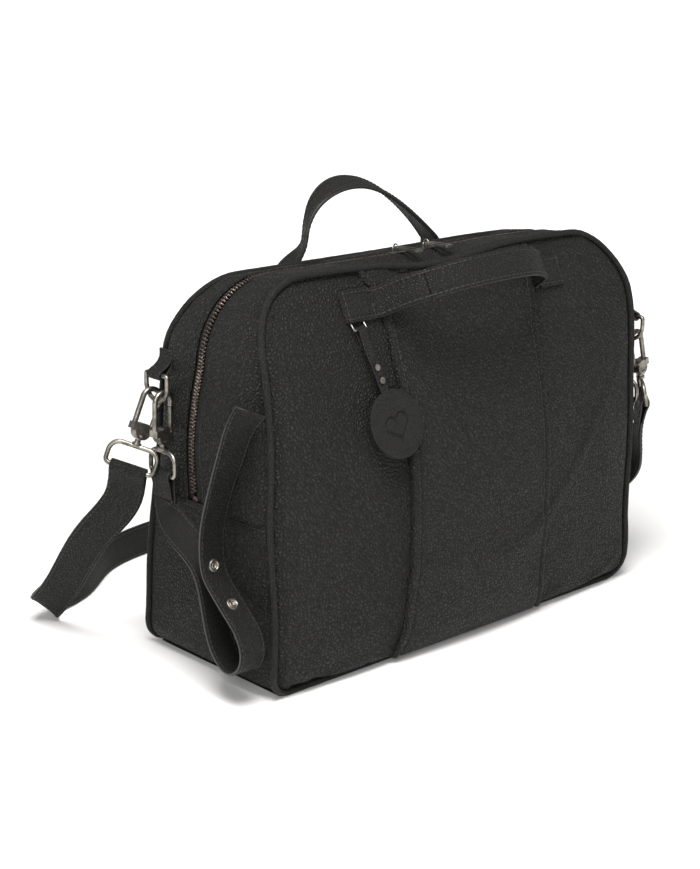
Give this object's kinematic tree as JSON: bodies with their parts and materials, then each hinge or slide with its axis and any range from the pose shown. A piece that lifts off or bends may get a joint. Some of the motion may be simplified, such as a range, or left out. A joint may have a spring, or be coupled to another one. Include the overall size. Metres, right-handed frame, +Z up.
{
  "type": "diaper bag",
  "caption": "Soft leather diaper bag with a domed two-way zip top, two carry handles, a hang tag, and clipped-on shoulder and stroller straps",
  "frame": {"origin": "centre of the flat base, on the surface the bag stands on", "axes": "+Z up, +X along the length of the bag, the front faces -Y"},
  "size_m": [0.4731, 0.3619, 0.3455],
  "materials": {
    "leather": "pebbled, semi-matt",
    "nickel": "antique nickel plate on zinc",
    "zip_metal": "antique copper",
    "tape": "woven tape",
    "lining": "woven lining",
    "board": "stiffener"
  },
  "bodies": {
    "bag": {"back_handle_tabs": "leather", "back_inner_pocket": "lining", "back_panel": "leather", "back_piping": "leather", "base_board": "board", "base_panel": "leather", "front_center_panel": "leather", "front_handle_tabs": "leather", "front_inner_pocket": "lining", "front_panel": "leather", "front_piping": "leather", "left_gusset": "leather", "left_ring_tab": "leather", "lining": "lining", "right_gusset": "leather", "right_ring_tab": "leather", "shoulder_strap": "leather", "tag_ring": "nickel", "zip_gusset_back": "leather", "zip_gusset_front": "leather", "zip_stops": "zip_metal", "zip_tape_back": "tape", "zip_tape_front": "tape", "zip_teeth_back": "zip_metal", "zip_teeth_front": "zip_metal"},
    "front_handle": {"front_handle": "leather", "front_handle_ends": "leather"},
    "back_handle": {"back_handle": "leather", "back_handle_ends": "leather"},
    "zip_slider_left": {"zip_slider_left": "nickel"},
    "zip_slider_right": {"zip_slider_right": "nickel"},
    "zip_pull_left": {"zip_pull_left": "nickel"},
    "zip_pull_right": {"zip_pull_right": "nickel"},
    "tag": {"tag_strap": "leather", "tag_rivets": "nickel", "tag_disc": "leather"},
    "left_ring": {"left_ring": "nickel"},
    "right_ring": {"right_ring": "nickel"},
    "left_stroller_hook": {"left_stroller_hook": "nickel"},
    "left_stroller_gate": {"left_stroller_gate": "nickel"},
    "left_stroller_loop": {"left_stroller_loop": "nickel", "left_stroller_snaps": "nickel", "left_stroller_strap": "leather", "left_stroller_strap_eye": "leather"},
    "left_shoulder_hook": {"left_shoulder_hook": "nickel"},
    "left_shoulder_gate": {"left_shoulder_gate": "nickel"},
    "left_shoulder_loop": {"left_shoulder_loop": "nickel", "left_shoulder_strap_eye": "leather"},
    "right_stroller_hook": {"right_stroller_hook": "nickel"},
    "right_stroller_gate": {"right_stroller_gate": "nickel"},
    "right_stroller_loop": {"right_stroller_loop": "nickel", "right_stroller_snaps": "nickel", "right_stroller_strap": "leather", "right_stroller_strap_eye": "leather"},
    "right_shoulder_hook": {"right_shoulder_hook": "nickel"},
    "right_shoulder_gate": {"right_shoulder_gate": "nickel"},
    "right_shoulder_loop": {"right_shoulder_loop": "nickel", "right_shoulder_strap_eye": "leather"}
  },
  "joints": [
    {"name": "front_handle_swing", "type": "hinge", "parent": "bag", "child": "front_handle", "pos_m": [0, -0.06167, 0.27], "axis": [-1, 0, 0], "range_deg": [-60, 55], "deforming": ["front_handle_ends"]},
    {"name": "back_handle_swing", "type": "hinge", "parent": "bag", "child": "back_handle", "pos_m": [0, 0.03605, 0.262], "axis": [-1, 0, 0], "range_deg": [0, 115], "deforming": ["back_handle_ends"]},
    {"name": "zip_slide_left", "type": "slide", "parent": "bag", "child": "zip_slider_left", "axis": [-1, 0, 0], "range_m": [-0.007, 0.11]},
    {"name": "zip_pull_flip_left", "type": "hinge", "parent": "zip_slider_left", "child": "zip_pull_left", "pos_m": [-0.012, -0.00838, 0.2954], "axis": [-1, 0, 0], "range_deg": [0, 160]},
    {"name": "zip_slide_right", "type": "slide", "parent": "bag", "child": "zip_slider_right", "axis": [1, 0, 0], "range_m": [-0.007, 0.11]},
    {"name": "zip_pull_flip_right", "type": "hinge", "parent": "zip_slider_right", "child": "zip_pull_right", "pos_m": [0.02, -0.00838, 0.2954], "axis": [-1, 0, 0], "range_deg": [0, 160]},
    {"name": "tag_swing", "type": "hinge", "parent": "bag", "child": "tag", "pos_m": [-0.104, -0.07034, 0.25518], "axis": [-1, 0, 0], "range_deg": [0, 75]},
    {"name": "left_ring_swing", "type": "hinge", "parent": "bag", "child": "left_ring", "pos_m": [-0.2055, 0.033, 0.221], "axis": [0, 1, 0], "range_deg": [0, 80], "deforming": ["shoulder_strap"]},
    {"name": "right_ring_swing", "type": "hinge", "parent": "bag", "child": "right_ring", "pos_m": [0.2055, -0.062, 0.221], "axis": [0, -1, 0], "range_deg": [0, 80]},
    {"name": "left_stroller_hook_swing", "type": "hinge", "parent": "left_ring", "child": "left_stroller_hook", "pos_m": [-0.20542, 0.0264, 0.20348], "axis": [-1, 0, 0], "range_deg": [0, 25]},
    {"name": "left_stroller_gate_press", "type": "hinge", "parent": "left_stroller_hook", "child": "left_stroller_gate", "pos_m": [-0.20126, 0.02692, 0.18012], "axis": [0.1045, -0.9945, -0.0036], "range_deg": [0, 20], "stiffness_Nm_per_rad": 0.02},
    {"name": "left_stroller_swivel", "type": "hinge", "parent": "left_stroller_hook", "child": "left_stroller_loop", "pos_m": [-0.2055, 0.0264, 0.20128], "axis": [-0.0349, 0, -0.9994], "range_deg": [-20, 20], "deforming": ["left_stroller_snaps", "left_stroller_strap"]},
    {"name": "left_shoulder_hook_swing", "type": "hinge", "parent": "left_ring", "child": "left_shoulder_hook", "pos_m": [-0.20457, 0.0399, 0.20348], "axis": [0, 1, 0], "range_deg": [0, 25]},
    {"name": "left_shoulder_gate_press", "type": "hinge", "parent": "left_shoulder_hook", "child": "left_shoulder_gate", "pos_m": [-0.20987, 0.03938, 0.18035], "axis": [-0.0947, -0.9945, 0.0442], "range_deg": [0, 20], "stiffness_Nm_per_rad": 0.02},
    {"name": "left_shoulder_swivel", "type": "hinge", "parent": "left_shoulder_hook", "child": "left_shoulder_loop", "pos_m": [-0.2055, 0.0399, 0.20148], "axis": [-0.4226, 0, -0.9063], "range_deg": [-3, 20]},
    {"name": "right_stroller_hook_swing", "type": "hinge", "parent": "right_ring", "child": "right_stroller_hook", "pos_m": [0.20542, -0.0551, 0.20368], "axis": [1, 0, 0], "range_deg": [0, 25]},
    {"name": "right_stroller_gate_press", "type": "hinge", "parent": "right_stroller_hook", "child": "right_stroller_gate", "pos_m": [0.20126, -0.05458, 0.18032], "axis": [0.1045, 0.9945, 0.0036], "range_deg": [0, 20], "stiffness_Nm_per_rad": 0.02},
    {"name": "right_stroller_swivel", "type": "hinge", "parent": "right_stroller_hook", "child": "right_stroller_loop", "pos_m": [0.2055, -0.0551, 0.20148], "axis": [0.0349, 0, -0.9994], "range_deg": [-6, 20], "deforming": ["right_stroller_snaps", "right_stroller_strap"]},
    {"name": "right_shoulder_hook_swing", "type": "hinge", "parent": "right_ring", "child": "right_shoulder_hook", "pos_m": [0.20497, -0.0686, 0.20341], "axis": [0, -1, 0], "range_deg": [0, 25]},
    {"name": "right_shoulder_gate_press", "type": "hinge", "parent": "right_shoulder_hook", "child": "right_shoulder_gate", "pos_m": [0.20575, -0.06912, 0.1797], "axis": [-0.1014, 0.9945, -0.0253], "range_deg": [0, 20], "stiffness_Nm_per_rad": 0.02},
    {"name": "right_shoulder_swivel", "type": "hinge", "parent": "right_shoulder_hook", "child": "right_shoulder_loop", "pos_m": [0.2055, -0.0686, 0.20128], "axis": [0.2419, 0, -0.9703], "range_deg": [-20, 12]}
  ]
}
